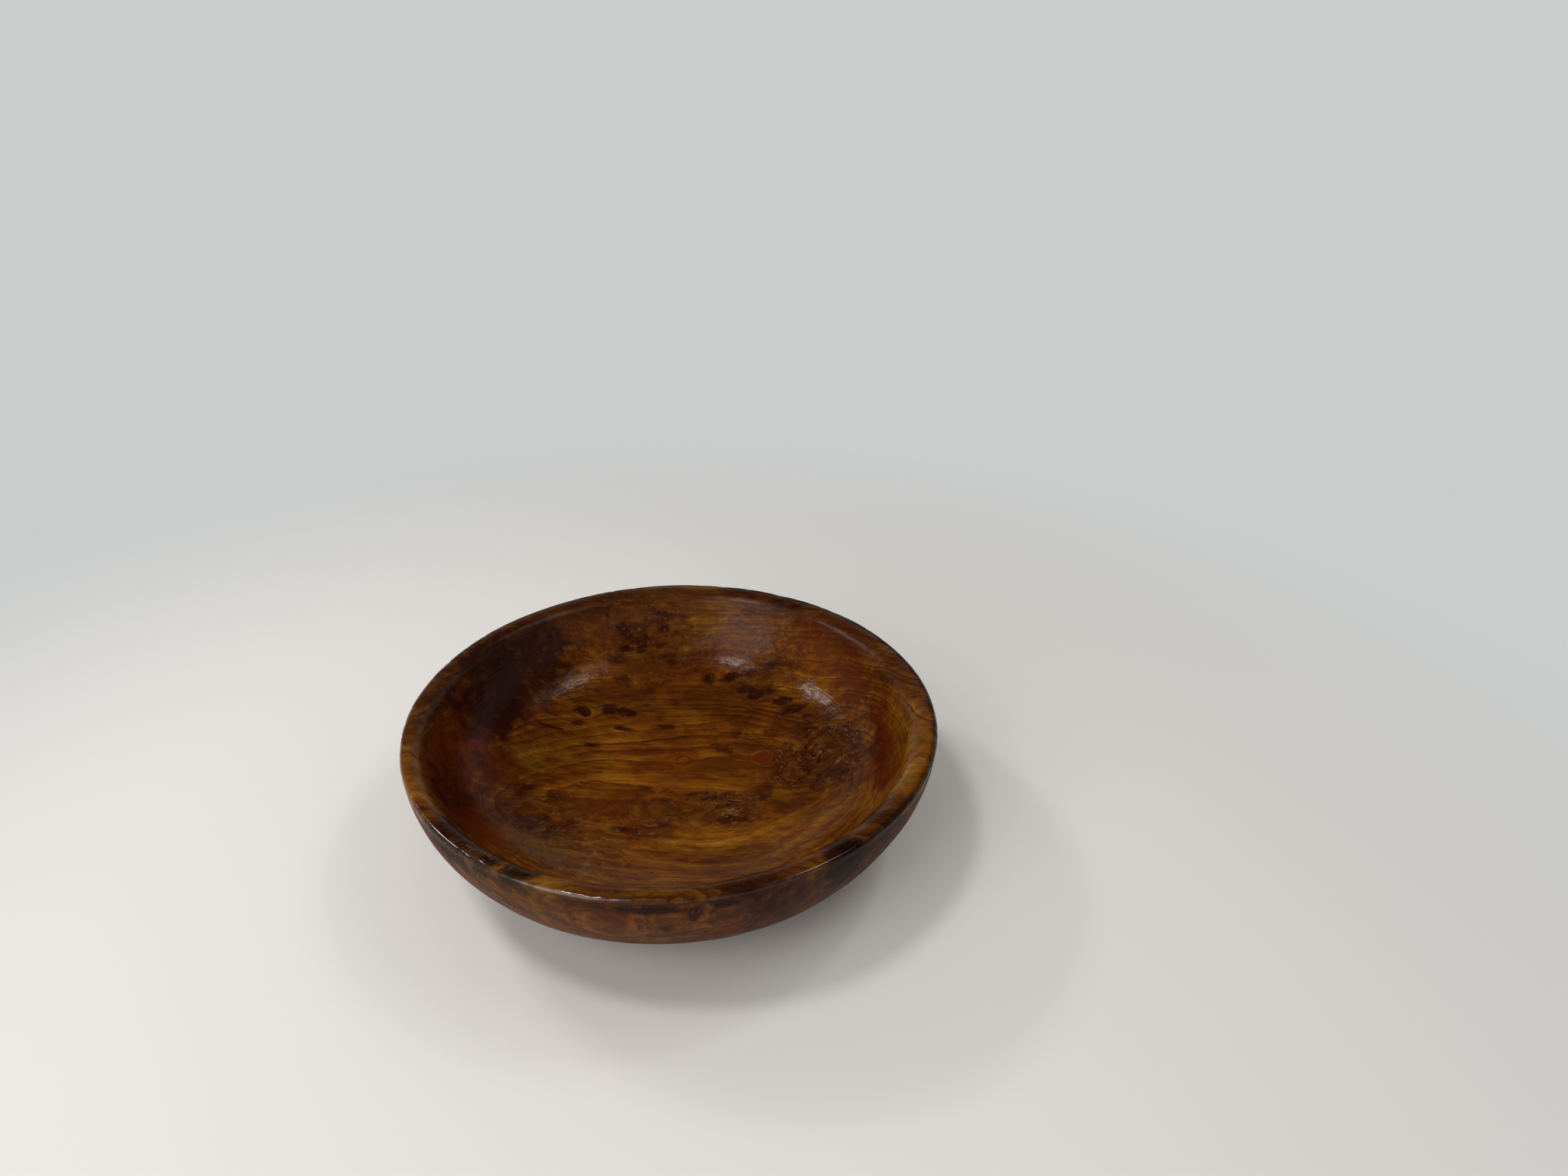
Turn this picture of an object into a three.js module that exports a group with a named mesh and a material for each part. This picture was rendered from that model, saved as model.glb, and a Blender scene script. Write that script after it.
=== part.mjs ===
// A bowl turned from one piece of burr wood: a thick soft-edged rim, a full round belly,
// a low turned foot with a hollowed base, and a dished inside.
// Millimetres, +Z up. The origin is the centre of the face that the foot stands on.
import * as THREE from "three";

// Outside
const bowlDiameter = 300; // across the widest ring
const bowlHeight = 80; // from the standing face to the top of the rim
const bellyFullness = 1.85; // exponent of the belly's curve: 2 is an ellipse, less is leaner

// Rim
const rimFlat = 3; // flat top between the rim's two rounded edges
const rimOuterRound = 2; // radius of the rim's outer edge
const rimInnerRound = 10; // radius of the rim's inner edge, which rolls softly into the wall

// Foot
const footDiameter = 144;
const footHeight = 3; // from the standing face to the underside of the belly
const footEdgeRound = 0.8; // worn corner between the foot's side and the standing face
const footCove = 1.5; // hollow fillet between the foot's side and the belly
const standingRingWidth = 12; // the flat ring that touches the table
const baseRecessDepth = 2.2; // the base is hollowed, so that only the ring stands
const baseRecessCove = 1.6; // hollow fillet round the recess

// Inside
const floorThickness = 19; // wood between the recess and the lowest part of the inside
const floorFlatDiameter = 40; // flat middle of the inside
const wallLean = 20; // degrees off upright where the wall leaves the rim
const wallFullness = 0.66; // share of the wall's height that keeps near this lean: more is squarer
const floorFullness = 0.76; // share of the floor's width that stays near level: more is squarer

// Facets
const facetsAround = 80;
const bellySteps = 12;
const hollowSteps = 14;
const rimSteps = 6; // on the rim's inner round
const edgeSteps = 4; // on each small round and cove

const bowlRadius = bowlDiameter / 2;
const footRadius = footDiameter / 2;
const recessRadius = footRadius - standingRingWidth;
const widestHeight = bowlHeight - rimOuterRound;
const floorHeight = baseRecessDepth + floorThickness;

// Points on a superellipse between two angles in degrees, where 0 is outwards and 90 is up.
// An exponent of 2 gives an ellipse, or with equal reaches a true arc.
function corner(centre, reach, exponent, startAngle, endAngle, steps) {
  const bend = (value) => Math.sign(value) * Math.abs(value) ** (2 / exponent);
  return Array.from({ length: steps + 1 }, (_, step) => {
    const degrees = startAngle + ((endAngle - startAngle) * step) / steps;
    const angle = THREE.MathUtils.degToRad(degrees);
    return new THREE.Vector2(
      centre.x + reach.x * bend(Math.cos(angle)),
      centre.y + reach.y * bend(Math.sin(angle)),
    );
  });
}

// The same on a circle, for the small rounds and coves.
function arc(centreRadius, centreHeight, radius, startAngle, endAngle, steps = edgeSteps) {
  const centre = new THREE.Vector2(centreRadius, centreHeight);
  const reach = new THREE.Vector2(radius, radius);
  return corner(centre, reach, 2, startAngle, endAngle, steps);
}

// From the middle of the base to the outside of the foot.
function footProfile() {
  const recessCove = Math.min(baseRecessCove, baseRecessDepth);
  return [
    new THREE.Vector2(0, baseRecessDepth),
    ...arc(recessRadius - recessCove, baseRecessDepth - recessCove, recessCove, 90, 0),
    new THREE.Vector2(recessRadius, 0),
    ...arc(footRadius - footEdgeRound, footEdgeRound, footEdgeRound, -90, 0),
    ...arc(footRadius + footCove, footHeight - footCove, footCove, 180, 90),
  ];
}

// From the foot up to the widest ring.
function bellyProfile() {
  const startRadius = footRadius + footCove;
  const centre = new THREE.Vector2(startRadius, widestHeight);
  const reach = new THREE.Vector2(bowlRadius - startRadius, widestHeight - footHeight);
  return corner(centre, reach, bellyFullness, -90, 0, bellySteps);
}

// Over the rim, from the widest ring to the top of the inside wall.
function rimProfile() {
  const outerCentre = bowlRadius - rimOuterRound;
  const innerCentre = outerCentre - rimFlat;
  const innerEnd = 180 - wallLean;
  return [
    ...arc(outerCentre, bowlHeight - rimOuterRound, rimOuterRound, 0, 90),
    ...arc(innerCentre, bowlHeight - rimInnerRound, rimInnerRound, 90, innerEnd, rimSteps),
  ];
}

// From the top of the inside wall down to the middle of the floor.
function hollowProfile() {
  const wallTop = rimProfile().at(-1);
  const floorEdge = new THREE.Vector2(floorFlatDiameter / 2, floorHeight);
  const wallPull = (wallTop.y - floorHeight) * wallFullness;
  const floorPull = (wallTop.x - floorEdge.x) * floorFullness;
  const drift = wallPull * Math.tan(THREE.MathUtils.degToRad(wallLean));
  const curve = new THREE.CubicBezierCurve(
    wallTop,
    new THREE.Vector2(wallTop.x - drift, wallTop.y - wallPull),
    new THREE.Vector2(floorEdge.x + floorPull, floorHeight),
    floorEdge,
  );
  return [...curve.getPoints(hollowSteps), new THREE.Vector2(0, floorHeight)];
}

// The whole outline, without the points that two stretches share.
function bowlOutline() {
  const shortest = 1e-3;
  const points = [
    ...footProfile(),
    ...bellyProfile(),
    ...rimProfile(),
    ...hollowProfile(),
  ];
  return points.filter(
    (point, index) => index === 0 || point.distanceTo(points[index - 1]) > shortest,
  );
}

const burrWood = new THREE.MeshStandardMaterial({
  name: "burr_wood",
  color: 0x6e4317,
  roughness: 0.38,
  metalness: 0,
});

const bowlGeometry = new THREE.LatheGeometry(bowlOutline(), facetsAround);
bowlGeometry.rotateX(Math.PI / 2); // a lathe turns about Y, and the bowl stands on Z

const bowl = new THREE.Mesh(bowlGeometry, burrWood);
bowl.name = "bowl";

const platter = new THREE.Group();
platter.add(bowl);

export default platter;
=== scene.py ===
# Turned burr-wood bowl: the visual model, its wood, a plain pale floor, studio lamps and the camera.
import bmesh
import bpy
import math
from mathutils import Matrix, Vector


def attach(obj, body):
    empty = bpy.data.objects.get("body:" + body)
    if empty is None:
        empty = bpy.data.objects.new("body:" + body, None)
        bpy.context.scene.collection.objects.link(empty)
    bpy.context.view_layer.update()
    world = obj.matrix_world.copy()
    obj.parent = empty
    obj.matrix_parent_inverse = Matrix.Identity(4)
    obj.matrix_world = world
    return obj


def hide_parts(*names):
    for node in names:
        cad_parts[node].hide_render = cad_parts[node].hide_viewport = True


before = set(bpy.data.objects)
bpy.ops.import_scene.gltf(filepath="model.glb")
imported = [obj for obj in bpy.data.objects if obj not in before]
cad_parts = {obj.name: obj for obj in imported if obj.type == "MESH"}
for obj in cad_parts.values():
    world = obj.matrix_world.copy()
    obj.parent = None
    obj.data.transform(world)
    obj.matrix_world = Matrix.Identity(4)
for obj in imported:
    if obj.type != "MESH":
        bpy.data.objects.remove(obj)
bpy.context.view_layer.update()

mm = 0.001


class Wire:
    # One output socket. Arithmetic on it adds Math nodes, or Vector Math nodes where it carries a vector.
    def __init__(self, sheet, socket):
        self.sheet = sheet
        self.socket = socket
        self.isVector = socket.type in ("VECTOR", "RGBA")

    def __add__(self, other):
        return self.sheet.reckon("ADD", self, other)

    def __radd__(self, other):
        return self.sheet.reckon("ADD", other, self)

    def __sub__(self, other):
        return self.sheet.reckon("SUBTRACT", self, other)

    def __rsub__(self, other):
        return self.sheet.reckon("SUBTRACT", other, self)

    def __mul__(self, other):
        return self.sheet.reckon("MULTIPLY", self, other)

    def __rmul__(self, other):
        return self.sheet.reckon("MULTIPLY", other, self)

    def __truediv__(self, other):
        return self.sheet.reckon("DIVIDE", self, other)

    def __rtruediv__(self, other):
        return self.sheet.reckon("DIVIDE", other, self)

    def __pow__(self, other):
        return self.sheet.reckon("POWER", self, other)


class NodeSheet:
    # Adds and joins the nodes of one tree.
    def __init__(self, tree):
        self.tree = tree

    def add(self, kind, settings=None, values=None, output=0):
        node = self.tree.nodes.new(kind)
        for name, setting in (settings or {}).items():
            if name == "stops":
                ramp = node.color_ramp
                ramp.elements[0].position = setting[0][0]
                ramp.elements[1].position = setting[-1][0]
                for stop in setting[1:-1]:
                    ramp.elements.new(stop[0])
                for element, (position, colour) in zip(ramp.elements, setting):
                    element.color = (*colour, 1)
            else:
                setattr(node, name, setting)
        for name, value in (values or {}).items():
            socket = node.inputs[name]
            if isinstance(value, Wire):
                self.tree.links.new(value.socket, socket)
            elif socket.type == "RGBA" and len(value) == 3:
                socket.default_value = (*value, 1)
            else:
                socket.default_value = value
        return Wire(self, node.outputs[output])

    def reckon(self, operation, first, second=None):
        given = [value for value in (first, second) if value is not None]
        vectors = [value.isVector if isinstance(value, Wire) else isinstance(value, tuple)
                   for value in given]
        if not any(vectors):
            return self.add("ShaderNodeMath", {"operation": operation}, dict(enumerate(given)))
        if operation == "MULTIPLY" and not all(vectors):
            vector, factor = given if vectors[0] else given[::-1]
            return self.add("ShaderNodeVectorMath", {"operation": "SCALE"},
                            {"Vector": vector, "Scale": factor})
        return self.add("ShaderNodeVectorMath", {"operation": operation}, dict(enumerate(given)))

    def highest(self, first, second):
        return self.reckon("MAXIMUM", first, second)

    def lowest(self, first, second):
        return self.reckon("MINIMUM", first, second)

    def ease(self, value, low, high):
        # 0 below low, 1 above high, smooth between; low may be the larger one.
        return self.add("ShaderNodeMapRange", {"interpolation_type": "SMOOTHSTEP"},
                        {"Value": value, "From Min": low, "From Max": high})

    def blend(self, factor, first, second):
        return self.add("ShaderNodeMix", {"data_type": "RGBA"}, {"Factor": factor, 6: first, 7: second},
                        output=2)

    def other(self, wire, name):
        # Another output of the node that a wire comes from.
        return Wire(self, wire.socket.node.outputs[name])

    def axes(self, vector):
        split = self.add("ShaderNodeSeparateXYZ", values={"Vector": vector})
        return [self.other(split, name) for name in "XYZ"]

    def point(self, x=0, y=0, z=0):
        return self.add("ShaderNodeCombineXYZ", values={"X": x, "Y": y, "Z": z})

    def length(self, vector):
        return self.add("ShaderNodeVectorMath", {"operation": "LENGTH"}, {0: vector}, output=1)

    def across(self, x, y):
        # How far a place is from the axis.
        return self.reckon("SQRT", x * x + y * y)

    def noise(self, place, size, detail=2, rough=0.5, shift=0, output="Fac"):
        # size is the width of one feature, as one number or along each axis
        sizes = size if isinstance(size, tuple) else (size, size, size)
        spread = place * tuple(1 / each for each in sizes) + (shift * 3.7, shift * 1.9, shift * 5.3)
        return self.add("ShaderNodeTexNoise", {}, {"Vector": spread, "Scale": 1, "Detail": detail,
                                                   "Roughness": rough}, output=output)


# Camera: at the photograph's viewing angle, metres and degrees

view = {
    "place": (0.0602, -0.4249, 0.3750),
    "tiltDown": 27.22,
    "roll": 1.77,
    "lens": 20.285,
    "filmWidth": 36,
}

cameraData = bpy.data.cameras.new("camera")
cameraData.lens = view["lens"]
cameraData.sensor_width = view["filmWidth"]
cameraData.clip_start = 0.01
camera = bpy.data.objects.new("camera", cameraData)
bpy.context.collection.objects.link(camera)
tilt = Matrix.Rotation(math.radians(90 - view["tiltDown"]), 4, "X")
roll = Matrix.Rotation(math.radians(view["roll"]), 4, "Z")
camera.matrix_world = Matrix.Translation(view["place"]) @ tilt @ roll
bpy.context.scene.camera = camera
print("camera set")


# Bowl: sizes in millimetres, the same as the part's own

bowlSizes = {
    "Bowl Diameter": 300,
    "Bowl Height": 80,
    "Belly Fullness": 1.85,
    "Rim Flat": 3,
    "Rim Outer Round": 2,
    "Rim Inner Round": 10,
    "Foot Diameter": 144,
    "Foot Height": 3,
    "Foot Edge Round": 0.8,
    "Foot Cove": 1.5,
    "Standing Ring Width": 12,
    "Ring Inner Round": 0.5,
    "Base Recess Depth": 2.2,
    "Base Recess Cove": 1.6,
    "Floor Thickness": 19,
    "Floor Flat Diameter": 40,
    "Wall Lean": 20,
    "Wall Fullness": 0.66,
    "Floor Fullness": 0.76,
    "Mouth Shift Left": 2,  # the mouth was turned a little off the outside's centre
    "Mouth Shift Front": 1.6,
    "Broad Unevenness": 0.9,
    "Hand Unevenness": 0.22,
    "Edge Wear": 0.5,
}
plainNumbers = ("Belly Fullness", "Wall Lean", "Wall Fullness", "Floor Fullness")  # these aren't lengths

# How finely the bowl is divided: columns round it, and rows along each stretch of its outline
bowlMesh = {
    "around": 480,
    "outsideRows": {"recess": 12, "recessCove": 5, "recessSide": 1, "ringInner": 4, "ring": 5,
                    "footEdge": 5, "footSide": 1, "footCove": 6, "belly": 44, "rimOuter": 8},
    "insideRows": {"rimTop": 6, "rimInner": 16, "wall": 54, "floor": 10},
    # The export's flat map: each skin is a disc, with its middle and radius in shares of the picture
    "outsideDisc": ((0.74, 0.74), 0.235),
    "insideDisc": ((0.34, 0.34), 0.325),
    "seamGap": 0.01,  # millimetres: closer points are joined, first in the tree and then in the mesh
    "leastGap": 0.004,
}

# The hand finish, in millimetres: how wide each kind of unevenness is and where it lies
handFinish = {
    "broadSize": 85,
    "broadMiddle": 0.56,  # the broad noise that leaves the surface where it is
    "handSize": 19,
    "nickSize": (7, 7, 5),
    "nickLimits": (0.52, 0.74),  # noise at which a nick begins and is full
    "fadeHeights": (3, 14),  # the base below stays true
    "edgeRadii": (146.2, 149),
    "edgeHeights": (74, 78.5),
}


def makeCornerStretch():
    # A group: the point at one part of a rounded corner between two angles, 0 outwards and 90 up.
    group = bpy.data.node_groups.new("cornerStretch", "GeometryNodeTree")
    for name, kind in (("Part", "NodeSocketFloat"), ("Centre Radius", "NodeSocketFloat"),
                       ("Centre Height", "NodeSocketFloat"), ("Reach Out", "NodeSocketFloat"),
                       ("Reach Up", "NodeSocketFloat"), ("Fullness", "NodeSocketFloat"),
                       ("Start Angle", "NodeSocketFloat"), ("End Angle", "NodeSocketFloat")):
        group.interface.new_socket(name=name, in_out="INPUT", socket_type=kind)
    group.interface.new_socket(name="Point", in_out="OUTPUT", socket_type="NodeSocketVector")
    sheet = NodeSheet(group)
    given = group.nodes.new("NodeGroupInput")
    wires = {socket.name: Wire(sheet, socket) for socket in given.outputs if socket.name}
    degrees = wires["Start Angle"] + (wires["End Angle"] - wires["Start Angle"]) * wires["Part"]
    angle = degrees * (math.pi / 180)
    reached = []
    for turn, centre, reach in (("COSINE", "Centre Radius", "Reach Out"),
                                ("SINE", "Centre Height", "Reach Up")):
        value = sheet.reckon(turn, angle)
        bent = sheet.reckon("ABSOLUTE", value) ** (2 / wires["Fullness"]) * sheet.reckon("SIGN", value)
        reached.append(wires[centre] + wires[reach] * bent)
    point = sheet.point(x=reached[0], z=reached[1])
    end = group.nodes.new("NodeGroupOutput")
    group.links.new(point.socket, end.inputs["Point"])
    return group


def makeBowlTree(material):
    tree = bpy.data.node_groups.new("turnedBowl", "GeometryNodeTree")
    tree.interface.new_socket(name="Geometry", in_out="OUTPUT", socket_type="NodeSocketGeometry")
    for name in bowlSizes:
        tree.interface.new_socket(name=name, in_out="INPUT", socket_type="NodeSocketFloat")
    sheet = NodeSheet(tree)
    given = tree.nodes.new("NodeGroupInput")
    size = {socket.name: Wire(sheet, socket) for socket in given.outputs if socket.name}
    cornerGroup = makeCornerStretch()

    bowlRadius = size["Bowl Diameter"] / 2
    footRadius = size["Foot Diameter"] / 2
    flatRadius = size["Floor Flat Diameter"] / 2
    edgeRadius = bowlRadius - size["Rim Outer Round"]
    innerCentre = edgeRadius - size["Rim Flat"]
    recessRadius = footRadius - size["Standing Ring Width"]
    widestHeight = size["Bowl Height"] - size["Rim Outer Round"]
    innerHeight = size["Bowl Height"] - size["Rim Inner Round"]
    floorHeight = size["Base Recess Depth"] + size["Floor Thickness"]
    lean = size["Wall Lean"] * (math.pi / 180)
    mouthRadius = innerCentre - size["Rim Inner Round"] * sheet.reckon("COSINE", lean)
    mouthHeight = innerHeight + size["Rim Inner Round"] * sheet.reckon("SINE", lean)
    wallPull = (mouthHeight - floorHeight) * size["Wall Fullness"]
    floorPull = (mouthRadius - flatRadius) * size["Floor Fullness"]
    bellyStart = footRadius + size["Foot Cove"]
    ringInside = recessRadius + size["Ring Inner Round"]

    def corner(centre, reach, fullness, startAngle, endAngle):
        def place(part):
            return sheet.add("GeometryNodeGroup", {"node_tree": cornerGroup},
                             {"Part": part, "Centre Radius": centre[0], "Centre Height": centre[1],
                              "Reach Out": reach[0], "Reach Up": reach[1], "Fullness": fullness,
                              "Start Angle": startAngle, "End Angle": endAngle})
        return place

    def straight(start, end):
        def place(part):
            first, last = [sheet.point(x=out, z=up) for out, up in (start, end)]
            return first + (last - first) * part
        return place

    def curve(points):
        # A cubic curve from the first point to the last, pulled towards the two between.
        def place(part):
            left = 1 - part
            shares = (left * left * left, left * left * part * 3,
                      left * part * part * 3, part * part * part)
            out = sum(point[0] * share for point, share in zip(points, shares))
            up = sum(point[1] * share for point, share in zip(points, shares))
            return sheet.point(x=out, z=up)
        return place

    recessDepth, recessCove = size["Base Recess Depth"], size["Base Recess Cove"]
    footEdge, footCove = size["Foot Edge Round"], size["Foot Cove"]
    rimOuter, rimInner = size["Rim Outer Round"], size["Rim Inner Round"]
    ringRound = size["Ring Inner Round"]
    outside = {
        "recess": straight((0, recessDepth), (recessRadius - recessCove, recessDepth)),
        "recessCove": corner((recessRadius - recessCove, recessDepth - recessCove),
                             (recessCove, recessCove), 2, 90, 0),
        "recessSide": straight((recessRadius, recessDepth - recessCove), (recessRadius, ringRound)),
        "ringInner": corner((ringInside, ringRound), (ringRound, ringRound), 2, -180, -90),
        "ring": straight((ringInside, 0), (footRadius - footEdge, 0)),
        "footEdge": corner((footRadius - footEdge, footEdge), (footEdge, footEdge), 2, -90, 0),
        "footSide": straight((footRadius, footEdge), (footRadius, size["Foot Height"] - footCove)),
        "footCove": corner((bellyStart, size["Foot Height"] - footCove), (footCove, footCove), 2, 180, 90),
        "belly": corner((bellyStart, widestHeight),
                        (bowlRadius - bellyStart, widestHeight - size["Foot Height"]),
                        size["Belly Fullness"], -90, 0),
        "rimOuter": corner((edgeRadius, widestHeight), (rimOuter, rimOuter), 2, 0, 90),
    }
    inside = {
        "rimTop": straight((edgeRadius, size["Bowl Height"]), (innerCentre, size["Bowl Height"])),
        "rimInner": corner((innerCentre, innerHeight), (rimInner, rimInner), 2,
                           90, 180 - size["Wall Lean"]),
        "wall": curve([(mouthRadius, mouthHeight),
                       (mouthRadius - wallPull * sheet.reckon("TANGENT", lean), mouthHeight - wallPull),
                       (flatRadius + floorPull, floorHeight), (flatRadius, floorHeight)]),
        "floor": straight((flatRadius, floorHeight), (0, floorHeight)),
    }

    def skin(stretches, rows, shifted, disc, fromMiddle):
        # A grid whose columns go round the bowl and whose rows follow the outline.
        rowTotal = sum(rows.values())
        columns = bowlMesh["around"]
        grid = sheet.add("GeometryNodeMeshGrid", {},
                         {"Vertices X": columns + 1, "Vertices Y": rowTotal + 1})
        index = sheet.add("GeometryNodeInputIndex")
        column = sheet.reckon("FLOOR", (index + 0.5) / (rowTotal + 1))
        row = index - column * (rowTotal + 1)
        outline = None
        firstRow = 0
        for name, place in stretches.items():
            part = sheet.add("ShaderNodeMapRange", {}, {"Value": row, "From Min": firstRow,
                                                        "From Max": firstRow + rows[name]})
            point = place(part)
            begun = sheet.reckon("GREATER_THAN", row, firstRow + 0.5)
            outline = point if outline is None else sheet.add(
                "ShaderNodeMix", {"data_type": "VECTOR"}, {"Factor": begun, 4: outline, 5: point}, output=1)
            firstRow += rows[name]
        radius, _, height = sheet.axes(outline)
        angle = column * (2 * math.pi / columns)
        across, along = sheet.reckon("COSINE", angle), sheet.reckon("SINE", angle)
        spot = sheet.point(radius * across, radius * along, height)
        placed = sheet.add("GeometryNodeSetPosition", {}, {"Geometry": grid, "Position": spot})

        # Flat map for the export: the length along the outline becomes the radius on a disc.
        position = sheet.add("GeometryNodeInputPosition")
        before = sheet.add("GeometryNodeFieldAtIndex", {"data_type": "FLOAT_VECTOR"},
                           {"Value": position, "Index": index - 1})
        step = sheet.length(position - before) * sheet.reckon("GREATER_THAN", row, 0.5)
        reached = sheet.add("GeometryNodeAccumulateField", {"data_type": "FLOAT", "domain": "POINT"},
                            {"Value": step, "Group ID": column})
        passed = reached / sheet.other(reached, "Total")
        share = passed if fromMiddle else 1 - passed
        mirror = -1 if fromMiddle else 1
        centre, discRadius = disc
        flat = sheet.point(share * across * discRadius + centre[0],
                           share * along * discRadius * mirror + centre[1])
        onPoints = sheet.add("GeometryNodeFieldOnDomain", {"data_type": "FLOAT_VECTOR", "domain": "POINT"},
                             {"Value": flat})
        mapped = sheet.add("GeometryNodeStoreNamedAttribute", {"data_type": "FLOAT2", "domain": "CORNER"},
                           {"Geometry": placed, "Name": "OFBake", "Value": onPoints})
        if not shifted:
            return mapped
        # The mouth moves whole, and the shift dies away over the rim and towards the middle of the floor.
        x, y, _ = sheet.axes(position)
        reach = sheet.across(x, y)
        weight = sheet.lowest(reach / mouthRadius, (edgeRadius - reach) / (edgeRadius - mouthRadius))
        weight = sheet.highest(weight, 0)
        move = sheet.point(weight * size["Mouth Shift Left"] * -1, weight * size["Mouth Shift Front"] * -1)
        return sheet.add("GeometryNodeSetPosition", {}, {"Geometry": mapped, "Offset": move})

    skins = [
        skin(inside, bowlMesh["insideRows"], True, bowlMesh["insideDisc"], False),
        skin(outside, bowlMesh["outsideRows"], False, bowlMesh["outsideDisc"], True),
    ]
    joined = sheet.add("GeometryNodeJoinGeometry")
    for each in skins:
        tree.links.new(each.socket, joined.socket.node.inputs["Geometry"])
    closed = sheet.add("GeometryNodeMergeByDistance", {},
                       {"Geometry": joined, "Distance": bowlMesh["seamGap"] * mm})

    # Uneven hand finish: slow swells, small hand-sized flats and a worn outer edge
    position = sheet.add("GeometryNodeInputPosition") * (1 / mm)
    x, y, z = sheet.axes(position)
    free = sheet.ease(z, *handFinish["fadeHeights"])
    broad = sheet.noise(position, handFinish["broadSize"], detail=1, shift=2) - handFinish["broadMiddle"]
    hand = sheet.noise(position, handFinish["handSize"], detail=2, shift=5) - 0.5
    nicked = sheet.noise(position, handFinish["nickSize"], detail=3, rough=0.6, shift=8)
    nicks = sheet.ease(nicked, *handFinish["nickLimits"])
    edge = sheet.ease(sheet.across(x, y), *handFinish["edgeRadii"])
    edge = edge * sheet.ease(z, *handFinish["edgeHeights"])
    amount = broad * size["Broad Unevenness"] * 2 + hand * size["Hand Unevenness"] * 2
    amount = amount * free - nicks * edge * size["Edge Wear"]
    normal = sheet.add("GeometryNodeInputNormal")
    worn = sheet.add("GeometryNodeSetPosition", {}, {"Geometry": closed, "Offset": normal * amount})
    smooth = sheet.add("GeometryNodeSetShadeSmooth", {}, {"Geometry": worn, "Shade Smooth": True})
    realized = sheet.add("GeometryNodeRealizeInstances", {}, {"Geometry": smooth})
    finished = sheet.add("GeometryNodeSetMaterial", {}, {"Geometry": realized, "Material": material})
    end = tree.nodes.new("NodeGroupOutput")
    tree.links.new(finished.socket, end.inputs["Geometry"])
    return tree


# Burr wood: millimetres, with the bowl's centre at the origin and +Y away from the viewer

wood = {
    "pith": (-6, -92),  # across and height of the middle of the trunk, below the bowl
    "bow": 0.0022,  # how much the grain bends along its length
    "ringWidth": 3.7,
    "yearPace": 0.55,  # how fast the years change, per ring
    "yearWander": 1.2,  # how far one year's ring strays, in ring widths
    "lateWoodPower": 3,  # more makes the dark end of each ring narrower
    "leastRings": 0.25,  # how strong the rings are where they show least
    "plainFading": 0.8,
    "slowBend": 30,  # how far slow, middling and tight bends push the grain, and how much more in the burr
    "middlingBend": (5, 18),
    "tightBend": (1.4, 13),
    "knotPush": 0.7,  # how much of its distance a knot pushes the grain aside
    "knotTearing": 0.25,
    "knotRings": 8,
    "burrKnotSpacing": 5.6,
    "burrRings": 26,
    "pipSpacing": 4.4,
    "patchTearing": 2.6,  # how deep the torn shapes at a patch's edge go
    "patchRaggedness": {"fleck": 0.45, "shadeAndDarkWood": 0.6, "plain": 0.6, "stroke": 0.9},  # shares of it by kind
    "patchShake": 1.2,
    "fleckTearing": 0.3,
    "strokeTearing": (1.3, 1.8),  # how much fibres and feathers break up a mark
    "blackTearing": (1.2, 1.6),
    "turningLoop": (4, 2),  # how far the turning marks change on the way round the bowl
    "rimDarker": 0.40,
    "outerEdgeDarker": 0.42,
    "outsideMottle": 2.2,
    "darkBrown": (0.024, 0.0048, 0.0007),
    "brown": (0.070, 0.0160, 0.0010),
    "gold": (0.155, 0.049, 0.0028),
    "paleGold": (0.27, 0.112, 0.011),
    "red": (0.092, 0.0085, 0.0015),
    "burrDark": (0.0085, 0.0020, 0.0008),
    "burrBrown": (0.050, 0.0180, 0.0048),
    "olive": (0.110, 0.058, 0.0055),
    "pip": (0.160, 0.076, 0.030),
    "shadeRed": (0.0125, 0.0016, 0.0006),
    "markAndShadeRed": (0.020, 0.0028, 0.0009),
    "yellowing": (0.93, 1.20, 1.10),  # what the yellower streaks multiply red, green and blue by
}

# Noise in the wood: width of a feature, or its widths along the axes, then detail, roughness and shift
woodNoises = {
    "tatter": (11, 4, 0.62, 3),
    "slowBend": ((140, 80, 80), 1, 0.5, 1),
    "middlingBend": ((44, 24, 24), 2, 0.5, 4),
    "tightBend": ((11, 8, 8), 3, 0.6, 7),
    "clear": ((70, 34, 34), 2, 0.5, 12),
    "fibre": ((26, 0.9, 0.9), 3, 0.6, 9),
    "thread": ((60, 2.6, 2.6), 2, 0.55, 15),
    "pores": ((5.5, 0.55, 0.55), 2, 0.6, 18),
    "feather": ((9, 5, 5), 5, 0.68, 21),
    "flecks": ((7, 2.4, 2.4), 4, 0.65, 24),
    "broad": ((90, 60, 60), 3, 0.55, 27),
    "mottle": ((13, 8, 8), 4, 0.6, 48),
    "reddish": (38, 3, 0.5, 30),
    "yellow": ((34, 11, 20), 3, 0.6, 51),
    "loose": (46, 2, 0.5, 33),
    "outsideMottle": ((6, 6, 26), 3, 0.6, 54),
    "turned": ((1.7, 3, 1.7), 2, 0.6, 36),
    "swells": (13, 2, 0.5, 39),
    "speckle": (1.6, 2, 0.5, 42),
    "handled": (30, 3, 0.6, 45),
}

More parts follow.
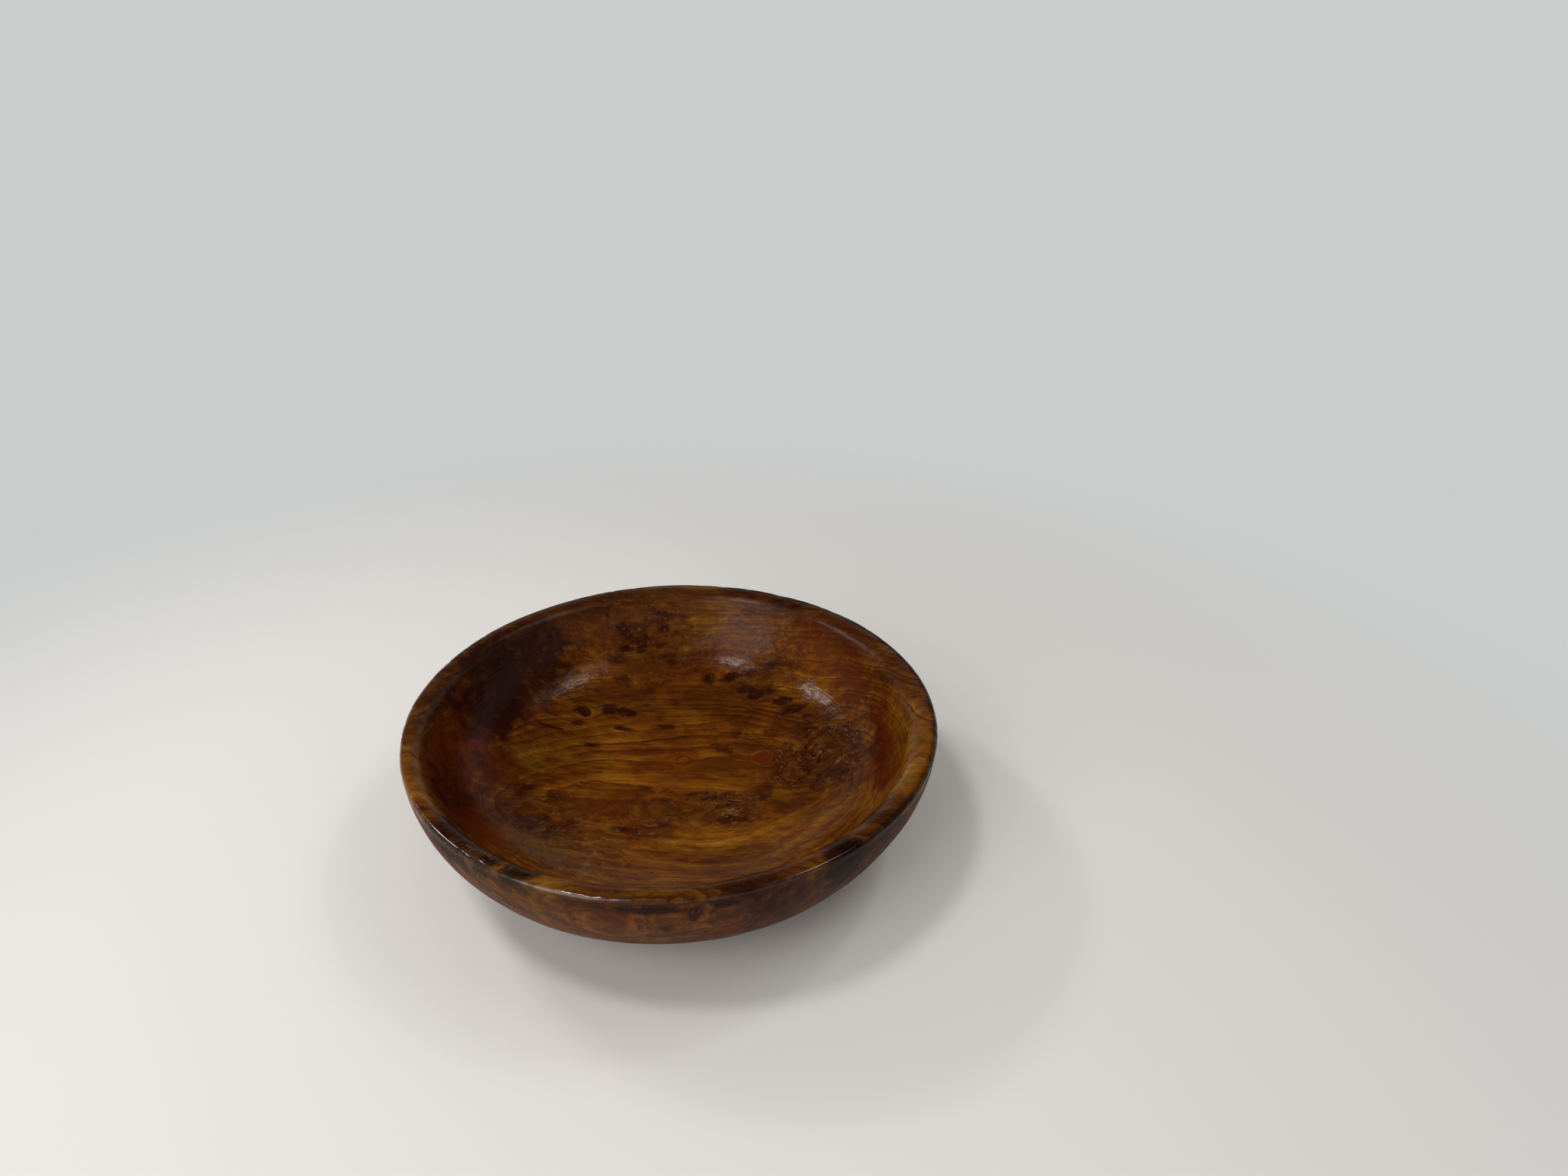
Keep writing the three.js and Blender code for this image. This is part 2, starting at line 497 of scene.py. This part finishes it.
# Values between which each thing begins and is full
woodLimits = {
    "patches": (1.35, 0.45),  # in shares of a patch's reach
    "knotHold": (1.9, 0.4),  # in radii of the knot
    "lateWoodEnd": (1, 0.93),  # in shares of a ring
    "yearLines": (0.25, 0.7),
    "clear": (0.32, 0.66),
    "pores": (0.60, 0.72),
    "hearts": (0.36, 0.16),
    "flecks": (0.56, 0.72),
    "reddish": (0.5, 0.75),
    "yellow": (0.46, 0.66),
    "burrTone": (0.35, 0.62),
    "darkMarks": (0.70, 0.44),
    "loose": (0.48, 0.68),
    "spots": (0.84, 0.58),
    "strokes": (0.15, 1.15),
    "blackened": (0.1, 1.1),
    "tornEdge": (0, 0.5),
    "pips": (0.34, 0.10),
}

# What makes the wood lighter or darker, and where on that scale each colour lies
tones = {
    "start": 0.53,
    "broad": 0.8,
    "years": 0.6,
    "rings": 0.55,
    "mottle": 0.55,
    "fibre": 0.42,
    "thread": 0.5,
    "gold": 0.2,
    "pores": 0.10,
    "knotRings": 0.10,
    "stops": {"darkBrown": 0.05, "brown": 0.42, "gold": 0.70, "paleGold": 0.98},
}

# How much of each thing's colour covers the wood
coverage = {
    "red": 0.62,
    "looseRed": 0.28,
    "mostRed": 0.9,
    "redBrown": 0.35,
    "redFibre": 0.8,
    "yellow": 0.8,
    "olive": 0.6,
    "burr": 0.5,
    "burrRings": 0.35,
    "knotMarks": 0.9,
    "looseFlecks": 0.75,
    "marksAndShade": 1.05,
    "mostMarks": 0.95,
    "black": 0.92,
    "pips": 0.6,
    "goldOnRim": 0.4,
    "shadeAndDarkWood": 0.85,
}

# Heights of the fine relief in millimetres
relief = {
    "swells": 0.55,
    "turning": 0.10,
    "fibre": 0.07,
    "speckle": 0.03,
    "pores": -0.10,
    "knotHearts": -0.12,
    "growthRings": -0.10,
}

# The varnish: its roughness and what adds to it, and how strongly it reflects
varnish = {
    "rough": 0.14,
    "handled": 0.09,
    "speckle": 0.08,
    "pores": 0.12,
    "marksAndShade": 0.05,
    "innerEdge": 0.12,
    "outside": 0.38,
    "reflection": 0.09,
    "edgePolish": 0.6,
    "polishRough": 0.17,
}

# Radii and heights between which each part of the rim begins or ends
rimZones = {
    "rimHeights": (66, 78),
    "innerRadii": (127, 133),
    "innerEndRadii": (147, 143.5),
    "innerHeights": (62, 72),
    "outsideHeights": (79, 75),
    "outsideSlope": 0.67,  # the outside is told from the inside by radius less this share of the height
    "outsideRadii": (94, 100),
    "edgeRadii": (145.5, 148.5),
    "edgeHeights": (74, 78),
    "polishRadii": (146.5, 148.5),
    "polishHeights": (77.5, 79.3),
    "backRight": (-90, 40),  # x plus y, from the front and left to the back and right
}

# Knots that the grain runs round: middle and radius
knotPlaces = [
    ((-11, -24, 21), 12),
    ((34, -26, 22), 8),
    ((12, 99, 32), 6),
    ((42, 83, 30), 6),
    ((-70, 60, 29), 6),
    ((0, 21, 21), 7),
    ((49, 25, 22), 6),
    ((90, 20, 30), 13),
    ((74, 8, 25), 9),
    ((-80, -40, 28), 12),
    ((-14, -148, 62), 12),
    ((40, -142, 70), 10),
    ((-60, 130, 60), 11),
]

# Where the burr's figure lies in the blank: middle, reach along each axis and strength, by kind
figurePatches = {
    "dark": [  # feathery dark marks, and painted shade on the left wall
        ((86, 54, 34), (12, 8, 14), 0.6),
        ((24, 32, 22), (6, 4, 10), 0.7),
        ((32, 50, 22), (5, 9, 10), 0.4),
        ((93, 18, 34), (26, 26, 18), 0.6),
        ((57, 3, 22), (16, 14, 14), 0.6),
        ((107, 12, 40), (8, 28, 20), 0.6),
        ((38, -33, 22), (13, 5, 10), 0.8),
        ((24, -14, 22), (12, 5, 10), 0.55),
        ((-78, -24, 26), (19, 12, 14), 0.6),
        ((-82, -46, 28), (22, 12, 14), 0.75),
        ((-62, -44, 24), (14, 10, 12), 0.5),
        # These three on the left wall are painted shade over dark wood.
        ((-120, -44, 48), (14, 34, 30), 0.7),
        ((-118, 46, 52), (18, 40, 40), 0.85),
        ((-101, 78, 48), (16, 24, 34), 0.75),
        ((-47, 117, 56), (14, 6, 8), 0.7),
        ((-20, 127, 66), (18, 4, 5), 0.8),
        ((-30, 90, 31), (10, 4, 6), 0.5),
        ((118, -8, 46), (5, 40, 16), 0.6),
        ((-96, -112, 78), (20, 14, 14), 0.9),
        ((4, -148, 75), (12, 5, 4), 0.95),
        ((26, -146, 72), (5, 5, 7), 0.85),
        ((44, -141, 78), (14, 6, 5), 0.9),
        ((58, -136, 66), (16, 10, 22), 0.7),
        ((118, -96, 60), (34, 30, 20), 0.7),
        ((-140, 40, 78), (16, 40, 12), 0.7),
        ((34, 142, 78), (14, 8, 8), 0.8),
        ((66, 130, 78), (18, 10, 8), 0.8),
    ],
    "black": [  # almost black spots
        ((10, 99, 32), (6, 5, 8), 1.0),
        ((18, 97, 31), (7, 3.5, 8), 0.8),
        ((42, 83, 30), (6, 4.5, 8), 0.85),
        ((-66, -127, 79), (8, 5, 5), 0.9),
        ((-55, -135, 79), (11, 9, 7), 0.9),
        ((93, -117, 74), (13, 11, 26), 1.0),
    ],
    "eyes": [  # burr clusters with small knots and pale pips
        ((86, 20, 34), (32, 30, 22), 1.0),
        ((30, -22, 22), (22, 17, 12), 1.0),
        ((-10, -32, 22), (20, 20, 12), 0.7),
        ((0, -148, 58), (66, 14, 30), 0.45),
        ((-80, -124, 78), (22, 15, 14), 1.0),
        ((-40, 118, 46), (50, 34, 40), 0.55),
        ((40, 100, 40), (34, 24, 26), 0.5),
        ((-60, -60, 12), (50, 50, 22), 0.6),
        ((70, 60, 8), (60, 50, 20), 0.7),
    ],
    "fleck": [  # short dark flecks
        ((-56, 105, 42), (7, 4, 4), 0.75),
        ((-52, 92, 34), (8, 3, 4), 0.8),
        ((-30, 85, 29), (7, 4, 5), 0.6),
        ((-14, 78, 27), (7, 4, 5), 0.5),
        ((24, 32, 21), (6, 3, 6), 0.75),
        ((30, 50, 22), (3, 6, 6), 0.5),
        ((82, 47, 30), (6, 3, 6), 0.75),
        ((57, 12, 22), (4, 5, 6), 0.8),
        ((76, 25, 27), (5, 4, 6), 0.6),
        ((109, 21, 38), (5, 6, 8), 0.85),
        ((109, 7, 37), (5, 5, 8), 0.8),
        ((98, 0, 31), (6, 4, 6), 0.7),
        ((72, 0, 26), (9, 4, 6), 0.7),
        ((9, -10, 21), (8, 3, 5), 0.6),
        ((23, -14, 21), (7, 3, 5), 0.7),
        ((-27, -43, 21), (5, 2.4, 5), 0.8),
        ((-3, -38, 21), (6, 2.4, 5), 0.75),
        ((-20, -50, 21), (5, 3, 5), 0.5),
    ],
    "red": [  # reddish wood
        ((-40, -25, 22), (20, 7, 12), 0.8),
        ((0, 20, 22), (20, 9, 12), 0.75),
        ((49, 25, 22), (7, 6, 12), 1.2),
        ((-20, 100, 38), (60, 30, 26), 0.6),
        ((-16, -44, 22), (14, 9, 12), 0.7),
        ((-131, -20, 68), (8, 12, 7), 1.3),
        ((-123, -10, 49), (8, 12, 8), 1.3),
        ((-111, -10, 38), (10, 9, 7), 1.1),
        ((96, 92, 64), (34, 34, 22), 0.8),
        ((-114, -12, 42), (18, 34, 22), 1.4),
        ((-104, -62, 46), (24, 26, 30), 1.2),
        ((-122, -20, 54), (16, 76, 44), 1.4),
        ((123, -8, 50), (8, 56, 11), 1.5),
        ((106, 74, 58), (12, 30, 14), 0.9),
        ((-40, 112, 50), (42, 16, 30), 0.5),
        ((-22, -146, 68), (20, 10, 22), 0.7),
    ],
    "gold": [  # lighter golden wood
        ((30, -50, 22), (30, 12, 12), 0.9),
        ((-42, -48, 22), (14, 18, 12), 0.6),
        ((-50, 20, 22), (42, 24, 14), 0.5),
        ((10, 64, 24), (20, 14, 12), 0.3),
        ((133, 6, 70), (7, 50, 8), 0.7),
        ((-15, -29, 21), (12, 9, 8), 0.9),
        ((-130, -72, 76), (26, 30, 14), 0.9),
        ((-38, -140, 79), (13, 8, 10), 0.8),
        ((20, -146, 68), (34, 12, 26), 0.7),
        ((72, -122, 79), (16, 12, 8), 0.8),
        ((136, -40, 79), (22, 62, 9), 0.8),
    ],
    "olive": [  # greenish brown wood
        ((-62, -68, 24), (22, 12, 12), 0.7),
        ((55, -70, 24), (22, 10, 12), 0.4),
        ((-76, -56, 30), (22, 12, 12), 0.7),
        ((-76, -126, 79), (12, 8, 6), 1.0),
        ((-36, 142, 79), (30, 10, 8), 0.5),
    ],
    "shadeAndDarkWood": [  # painted shade where the hollow's walls and floor lie in shade, with darker red wood
        ((-120, 44, 62), (26, 50, 34), 0.95),
        ((-104, 76, 58), (24, 34, 30), 0.7),
        ((-108, -62, 54), (18, 26, 24), 0.55),
        ((104, 84, 66), (30, 34, 24), 0.3),
        ((96, -44, 34), (30, 26, 16), 0.3),
        ((-82, 20, 26), (40, 40, 12), 0.5),
        ((126, 20, 58), (16, 54, 26), 0.4),
        ((-48, 72, 28), (44, 22, 14), 0.65),
        ((24, 82, 28), (52, 24, 14), 0.7),
        ((70, 62, 30), (20, 18, 14), 0.5),
        ((-18, 106, 38), (40, 16, 15), 0.5),
        ((58, 94, 38), (18, 16, 14), 0.5),
        ((72, 82, 36), (16, 14, 12), 0.45),
        ((100, -18, 33), (20, 22, 12), 0.4),
        ((-103, -8, 34), (20, 40, 15), 0.55),
        ((76, -22, 26), (30, 20, 14), 0.4),
        ((20, -66, 25), (22, 12, 12), 0.25),
    ],
    "plain": [  # wood with weaker growth rings
        ((20, -66, 22), (110, 40, 24), 1.0),
        ((60, -20, 22), (50, 50, 24), 0.6),
        ((-100, 70, 50), (40, 60, 40), 0.7),
        ((0, 118, 50), (120, 44, 44), 0.75),
    ],
    "stroke": [  # single dark marks with torn ends
        ((27, 100, 33), (9, 3.5, 8), 1.0),
        ((39, 102, 36), (9, 3.5, 8), 0.95),
        ((51, 102, 39), (8, 3, 8), 0.8),
        ((35, 89, 30), (7, 4, 8), 0.8),
        ((52, 85, 32), (7, 3, 8), 0.8),
        ((60, 75, 30), (8, 3.5, 8), 0.95),
        ((69, 67, 30), (9, 4, 8), 1.0),
        ((80, 59, 31), (8, 3.5, 8), 0.85),
        ((-71, 60, 29), (7, 5, 9), 1.0),
        ((-73, 49, 27), (6, 3, 8), 0.85),
        ((-54, 66, 27), (7, 4.5, 8), 0.9),
        ((-44, 65, 26), (8, 3.5, 8), 1.0),
        ((-88, 40, 31), (9, 1.8, 6), 0.9),
        ((-61, 31, 24), (8, 2.6, 6), 1.0),
        ((-42, 49, 24), (9, 2.2, 6), 0.9),
        ((-17, 54, 23), (9, 2, 6), 0.8),
        ((-54, 119, 60), (5, 4, 4), 1.0),
        ((-50, 117, 54), (5, 4, 3), 0.95),
        ((-50, 111, 47), (6, 4, 3), 1.0),
        ((-25, 125, 56), (6, 4, 3), 1.0),
        ((-18, 126, 53), (6, 4, 3), 0.8),
        ((-27, 118, 46), (8, 4, 3), 0.9),
        ((-40, 113, 45), (5, 4, 3), 0.8),
        ((-18, 110, 38), (6, 4, 3), 0.7),
        ((-119, -57, 65), (6, 8, 6), 0.8),
        ((-114, -64, 60), (6, 9, 6), 0.9),
        ((-111, -56, 50), (6, 9, 6), 0.8),
        ((-104, -80, 64), (7, 9, 6), 0.9),
        ((-99, -80, 54), (7, 8, 6), 0.8),
        ((-92, -112, 79), (9, 7, 5), 0.9),
        ((-80, -121, 76), (6, 6, 5), 0.9),
        ((6, -147, 74), (14, 6, 3), 0.9),
        ((26, -146, 71), (4, 6, 7), 0.9),
        ((40, -143, 76), (14, 6, 3), 0.9),
        ((14, -145, 64), (4, 6, 8), 0.6),
    ],
}


def makeBurrWood():
    material = bpy.data.materials.new("burrWood")
    material.use_nodes = True
    sheet = NodeSheet(material.node_tree)
    place = sheet.add("ShaderNodeTexCoord", output="Object") * (1 / mm)
    half = (0.5, 0.5, 0.5)

    def noise(name, where, output="Fac"):
        size, detail, rough, shift = woodNoises[name]
        return sheet.noise(where, size, detail, rough, shift, output)

    def limit(value, name):
        return sheet.ease(value, *woodLimits[name])

    tatter = noise("tatter", place)
    ragged = (tatter - 0.5) * wood["patchTearing"]
    # Patches are measured from a place that waits for the noise. From the plain place, Cycles would
    # work out all their distances first. It has room for 255 values, and the wood turns black past that.
    shaken = place + (sheet.other(tatter, "Color") - half) * wood["patchShake"]

    def patches(kind):
        raggedness = wood["patchRaggedness"].get(kind, 1)
        total = None
        for middle, reach, strength in figurePatches[kind]:
            far = sheet.length((shaken - middle) * tuple(1 / each for each in reach))
            patch = limit(far + ragged * raggedness, "patches") * strength
            total = patch if total is None else sheet.highest(total, patch)
        return total

    dark, black, eyes = patches("dark"), patches("black"), patches("eyes")
    fleck, red, gold = patches("fleck"), patches("red"), patches("gold")
    olive, shadeAndDarkWood, plain = patches("olive"), patches("shadeAndDarkWood"), patches("plain")
    stroke = patches("stroke")

    # The grain: rings about the trunk's middle, pushed about by slow bends and, in the burr, by tight ones.
    slow, middling, tight = [noise(name, place, "Color") - half
                             for name in ("slowBend", "middlingBend", "tightBend")]
    push, eyeRings = None, None
    for middle, radius in knotPlaces:
        offset = shaken - middle
        far = sheet.length(offset) / radius + ragged * wood["knotTearing"]
        hold = limit(far, "knotHold")
        pushed = offset * (hold * wood["knotPush"])
        ringed = sheet.reckon("SINE", far * wood["knotRings"]) * hold
        push = pushed if push is None else push + pushed
        eyeRings = ringed if eyeRings is None else eyeRings + ringed
    inMiddling, inTight = [least + burr * eyes for least, burr in (wood["middlingBend"], wood["tightBend"])]
    bent = place + slow * wood["slowBend"] + middling * inMiddling + tight * inTight - push
    x, y, z = sheet.axes(bent)
    across = y - wood["pith"][0] + x * x * wood["bow"]
    up = z - wood["pith"][1]
    ring = sheet.across(across, up) / wood["ringWidth"]
    year = sheet.add("ShaderNodeTexNoise", {"noise_dimensions": "1D"},
                     {"W": ring * wood["yearPace"], "Scale": 1, "Detail": 3, "Roughness": 0.6})
    growth = sheet.reckon("FRACT", ring + (year - 0.5) * wood["yearWander"])
    late = growth ** wood["lateWoodPower"] * limit(growth, "lateWoodEnd")
    clear = limit(noise("clear", place), "clear") * (1 - plain * wood["plainFading"])
    lines = late * (wood["leastRings"] + clear) * limit(year, "yearLines")

    fibre, thread = noise("fibre", bent), noise("thread", bent)
    pores = limit(noise("pores", bent), "pores")

    def cells(spacing):
        return sheet.add("ShaderNodeTexVoronoi", {"feature": "F1"}, {"Vector": bent, "Scale": 1 / spacing})

    # Burr figure: small knots with dark hearts, and feathery dark marks between them
    knots = cells(wood["burrKnotSpacing"])
    hearts = limit(knots, "hearts")
    rings = sheet.reckon("SINE", knots * wood["burrRings"]) * 0.5 + 0.5
    feather = noise("feather", bent)
    flecks = limit(noise("flecks", bent), "flecks")

    def torn(patch, tearing, name):
        # A patch that breaks up along the fibres and the feathers.
        broken = patch + (fibre - 0.5) * tearing[0] + (feather - 0.5) * tearing[1]
        return limit(broken, name) * limit(patch, "tornEdge")

    # Colour: rings and fibres from dark to pale, then reddish, yellow and olive areas, the burr and marks
    broad, mottle = noise("broad", place), noise("mottle", bent)
    tone = tones["start"] + (broad - 0.5) * tones["broad"] + (year - 0.5) * tones["years"]
    tone = tone - lines * tones["rings"] + (mottle - 0.5) * tones["mottle"]
    tone = tone + (fibre - 0.5) * tones["fibre"] + (thread - 0.5) * tones["thread"]
    tone = tone + gold * tones["gold"] - pores * tones["pores"] + eyeRings * tones["knotRings"]
    stops = [(stop, wood[name]) for name, stop in tones["stops"].items()]
    colour = sheet.add("ShaderNodeValToRGB", {"stops": stops}, {"Fac": tone})
    reddish = red * coverage["red"] + limit(noise("reddish", place), "reddish") * coverage["looseRed"]
    brownShare = coverage["redBrown"] + (fibre - 0.5) * coverage["redFibre"]
    redTone = sheet.blend(brownShare, wood["red"], wood["brown"])
    colour = sheet.blend(sheet.lowest(reddish, coverage["mostRed"]), colour, redTone)
    yellow = limit(noise("yellow", place), "yellow")
    colour = sheet.blend(yellow * coverage["yellow"], colour, colour * wood["yellowing"])
    oliveTone = sheet.blend(fibre, wood["burrBrown"], wood["olive"])
    colour = sheet.blend(olive * coverage["olive"], colour, oliveTone)
    burrTone = sheet.blend(limit(feather, "burrTone"), wood["burrDark"], wood["burrBrown"])
    colour = sheet.blend(eyes * coverage["burr"], colour, burrTone)
    knotMark = sheet.highest(hearts, rings * coverage["burrRings"]) * eyes
    colour = sheet.blend(sheet.lowest(knotMark * coverage["knotMarks"], 1), colour, wood["burrDark"])
    marksAndShade = dark * limit(feather, "darkMarks")
    loose = flecks * limit(noise("loose", place), "loose") * coverage["looseFlecks"]
    spots = fleck * limit(feather + fibre * wood["fleckTearing"], "spots")
    spots = sheet.highest(spots, torn(stroke, wood["strokeTearing"], "strokes"))
    marksAndShade = sheet.highest(sheet.highest(marksAndShade, loose), spots)
    marksAndShadeShare = sheet.lowest(marksAndShade * coverage["marksAndShade"], coverage["mostMarks"])
    # Dark marks, and painted shade on the left wall, turn to a dark red.
    colour = sheet.blend(marksAndShadeShare, colour, wood["markAndShadeRed"])
    blackened = torn(black, wood["blackTearing"], "blackened")
    colour = sheet.blend(blackened * coverage["black"], colour, wood["burrDark"])
    pips = cells(wood["pipSpacing"])
    colour = sheet.blend(limit(pips, "pips") * eyes * coverage["pips"], colour, wood["pip"])

    # The rim is darker over its top. Its outer edge is darker still at the back and right, and polished
    # by hands at the front and left.
    placeX, placeY, placeZ = sheet.axes(place)
    turnRadius = sheet.across(placeX, placeY)
    around = sheet.reckon("ARCTAN2", placeY, placeX)

    def zone(value, name):
        return sheet.ease(value, *rimZones[name])

    onRim = zone(placeZ, "rimHeights") * (1 - gold * coverage["goldOnRim"])
    innerEdge = zone(turnRadius, "innerRadii") * zone(turnRadius, "innerEndRadii")
    innerEdge = innerEdge * zone(placeZ, "innerHeights")
    slanted = turnRadius - placeZ * rimZones["outsideSlope"]
    outside = zone(placeZ, "outsideHeights") * zone(slanted, "outsideRadii")
    mottles = noise("outsideMottle", bent) - 0.5
    backRight = zone(placeX + placeY, "backRight")
    edge = zone(turnRadius, "edgeRadii") * zone(placeZ, "edgeHeights") * backRight
    polish = zone(turnRadius, "polishRadii") * zone(placeZ, "polishHeights")
    polish = polish * (varnish["edgePolish"] - backRight)
    shade = 1 - onRim * wood["rimDarker"] - edge * wood["outerEdgeDarker"]
    shade = shade + mottles * outside * wood["outsideMottle"]
    # Painted shade: where the hollow lies in shade, and where its wood is darker, the colour turns to a
    # shaded dark red.
    colour = sheet.blend(shadeAndDarkWood * coverage["shadeAndDarkWood"], colour * shade, wood["shadeRed"])

    # Turning marks run round the bowl; the varnish fills most of them.
    loopAcross, loopUp = wood["turningLoop"]
    lathe = sheet.point(turnRadius, sheet.reckon("SINE", around) * loopAcross,
                        placeZ + sheet.reckon("COSINE", around) * loopUp)
    turned = noise("turned", lathe)
    swells, speckle = noise("swells", place), noise("speckle", place)
    height = swells * relief["swells"] + turned * relief["turning"] + fibre * relief["fibre"]
    height = height + speckle * relief["speckle"] + pores * relief["pores"]
    height = height + hearts * eyes * relief["knotHearts"] + lines * relief["growthRings"]
    bump = sheet.add("ShaderNodeBump", {}, {"Strength": 1, "Distance": mm, "Height": height})

    handled = noise("handled", place)
    rough = varnish["rough"] + (handled - 0.5) * varnish["handled"] + (speckle - 0.5) * varnish["speckle"]
    rough = rough + pores * varnish["pores"] + marksAndShade * varnish["marksAndShade"]
    rough = rough + innerEdge * varnish["innerEdge"] + outside * varnish["outside"]
    surface = material.node_tree.nodes["Principled BSDF"]
    for name, wire in (("Base Color", colour), ("Roughness", rough), ("Normal", bump),
                       ("Coat Weight", sheet.highest(polish, 0))):
        material.node_tree.links.new(wire.socket, surface.inputs[name])
    surface.inputs["Specular IOR Level"].default_value = varnish["reflection"]
    surface.inputs["Coat Roughness"].default_value = varnish["polishRough"]
    return material


burrWood = makeBurrWood()
print("burr wood made")


def makeBowl():
    host = bpy.data.objects.new("bowlSource", bpy.data.meshes.new("bowlSource"))
    bpy.context.collection.objects.link(host)
    modifier = host.modifiers.new("turned", "NODES")
    modifier.node_group = makeBowlTree(burrWood)
    for socket in modifier.node_group.interface.items_tree:
        if socket.in_out == "INPUT":
            unit = 1 if socket.name in plainNumbers else mm
            modifier[socket.identifier] = bowlSizes[socket.name] * unit
    solid = host.evaluated_get(bpy.context.evaluated_depsgraph_get())
    mesh = bpy.data.meshes.new_from_object(solid)
    bpy.data.objects.remove(host)
    shape = bmesh.new()
    shape.from_mesh(mesh)
    bmesh.ops.remove_doubles(shape, verts=shape.verts, dist=bowlMesh["leastGap"] * mm)
    bmesh.ops.recalc_face_normals(shape, faces=shape.faces)
    openEdges = sum(1 for edge in shape.edges if not edge.is_manifold)
    shape.to_mesh(mesh)
    shape.free()
    mesh.name = "turnedBowl"
    piece = bpy.data.objects.new("turnedBowl", mesh)
    bpy.context.collection.objects.link(piece)
    print("bowl made:", len(mesh.polygons), "faces,", openEdges, "open edges")
    return piece


turnedBowl = makeBowl()
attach(turnedBowl, "root")
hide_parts("bowl")


# Floor, sky and lamps

stage = {
    "floorColour": (0.60, 0.578, 0.55),
    "farColour": (0.60, 0.615, 0.61),
    "ceilingColour": (0.04, 0.04, 0.04),
    "ceilingRise": (0.34, 0.54),  # sine of the height over the horizon where the sky begins and ends to dim
    "floorReach": 6.0,
    "floorGap": 0.1,  # millimetres below the bowl's ring
    "floorRough": 0.75,
    "floorReflection": 0.2,
    "floorGlow": (0.3, 0.75),  # where the floor begins and ends to turn into the plain backdrop
    "lampDistance": 1.4,
    "ambient": 0.39,
}

lamps = [
    # name, direction towards it, width, height, power
    ("frontWindow", (-0.49, -0.69, 0.53), 0.80, 1.12, 11.6),
    ("frontLamp", (-0.31, -0.21, 0.93), 0.19, 0.19, 5.4),
    ("leftLamp", (-0.64, 0.27, 0.72), 0.24, 0.15, 4.0),
    ("rightWindow", (0.49, 0.03, 0.87), 0.76, 0.24, 2.4),
    ("rightLamp", (0.41, 0.14, 0.90), 0.13, 0.12, 1.2),
]


def seenDirectly(sheet):
    # 1 for what the camera, a reflection or glass shows, and 0 for light that falls on other things
    direct = sheet.add("ShaderNodeLightPath", output="Is Camera Ray")
    glossy = sheet.other(direct, "Is Glossy Ray")
    through = sheet.other(direct, "Is Transmission Ray")
    return sheet.lowest(direct + glossy + through, 1)


def makeStage():
    reach = stage["floorReach"]
    mesh = bpy.data.meshes.new("floor")
    level = -stage["floorGap"] * mm
    corners = [(across * reach, along * reach, level)
               for across, along in ((-1, -1), (1, -1), (1, 1), (-1, 1))]
    mesh.from_pydata(corners, [], [(0, 1, 2, 3)])
    floor = bpy.data.objects.new("floor", mesh)
    bpy.context.collection.objects.link(floor)
    material = bpy.data.materials.new("floorPaint")
    material.use_nodes = True
    sheet = NodeSheet(material.node_tree)
    place = sheet.add("ShaderNodeTexCoord", output="Object")
    surface = material.node_tree.nodes["Principled BSDF"]
    surface.inputs["Base Color"].default_value = (*stage["floorColour"], 1)
    surface.inputs["Roughness"].default_value = stage["floorRough"]
    surface.inputs["Specular IOR Level"].default_value = stage["floorReflection"]
    glow = sheet.add("ShaderNodeEmission", {}, {"Color": stage["farColour"], "Strength": 1})
    seen = sheet.ease(sheet.length(place), *stage["floorGlow"]) * seenDirectly(sheet)
    mixed = sheet.add("ShaderNodeMixShader", {}, {0: seen, 1: Wire(sheet, surface.outputs[0]), 2: glow})
    end = material.node_tree.nodes["Material Output"]
    material.node_tree.links.new(mixed.socket, end.inputs["Surface"])
    mesh.materials.append(material)


def makeWorld():
    world = bpy.data.worlds.new("studio")
    world.use_nodes = True
    bpy.context.scene.world = world
    sheet = NodeSheet(world.node_tree)
    ambient = (stage["ambient"],) * 3
    direction = sheet.add("ShaderNodeTexCoord", output="Generated")
    dim = sheet.ease(sheet.axes(direction)[2], *stage["ceilingRise"])
    sky = sheet.blend(dim, stage["farColour"], stage["ceilingColour"])
    colour = sheet.blend(seenDirectly(sheet), ambient, sky)
    background = world.node_tree.nodes["Background"]
    world.node_tree.links.new(colour.socket, background.inputs["Color"])


def makeLamps():
    for name, direction, width, height, power in lamps:
        data = bpy.data.lights.new(name, "AREA")
        data.shape = "RECTANGLE"
        data.size = width
        data.size_y = height
        data.energy = power
        lamp = bpy.data.objects.new(name, data)
        bpy.context.collection.objects.link(lamp)
        towards = Vector(direction).normalized()
        lamp.location = towards * stage["lampDistance"]
        lamp.rotation_euler = towards.to_track_quat("Z", "Y").to_euler()


makeStage()
makeWorld()
makeLamps()
bpy.context.scene.view_settings.view_transform = "Standard"
print("floor, sky and lamps set")
